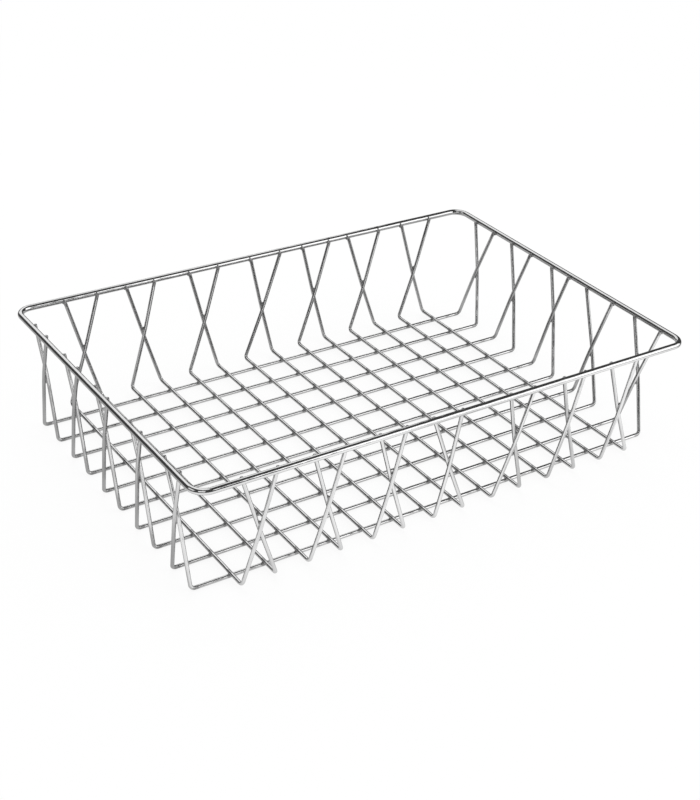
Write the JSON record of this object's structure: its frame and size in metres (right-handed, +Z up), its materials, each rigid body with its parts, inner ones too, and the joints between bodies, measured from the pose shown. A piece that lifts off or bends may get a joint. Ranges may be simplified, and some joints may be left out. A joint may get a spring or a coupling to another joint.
{
  "type": "wire basket",
  "caption": "Open rectangular wire tray basket: a thick rim wire and two layers of thin bent wires welded into a floor grid, with legs that cross as X shapes in the walls.",
  "frame": {"origin": "on the surface that the basket stands on, under the middle of the basket", "axes": "+Z up, +X along the basket's length, and the front wall faces -Y"},
  "size_m": [0.457, 0.31, 0.102],
  "materials": {
    "rim_chrome": "bright plated steel wire, polished",
    "wire_chrome": "bright plated steel wire, slightly duller than the rim"
  },
  "bodies": {
    "root": {"rim_wire": "rim_chrome", "cross_wire_01": "wire_chrome", "cross_wire_02": "wire_chrome", "cross_wire_03": "wire_chrome", "cross_wire_04": "wire_chrome", "cross_wire_05": "wire_chrome", "cross_wire_06": "wire_chrome", "cross_wire_07": "wire_chrome", "cross_wire_08": "wire_chrome", "cross_wire_09": "wire_chrome", "cross_wire_10": "wire_chrome", "cross_wire_11": "wire_chrome", "cross_wire_12": "wire_chrome", "cross_wire_13": "wire_chrome", "cross_wire_14": "wire_chrome", "long_wire_01": "wire_chrome", "long_wire_02": "wire_chrome", "long_wire_03": "wire_chrome", "long_wire_04": "wire_chrome", "long_wire_05": "wire_chrome", "long_wire_06": "wire_chrome", "long_wire_07": "wire_chrome", "long_wire_08": "wire_chrome", "long_wire_09": "wire_chrome", "long_wire_10": "wire_chrome"}
  },
  "joints": []
}
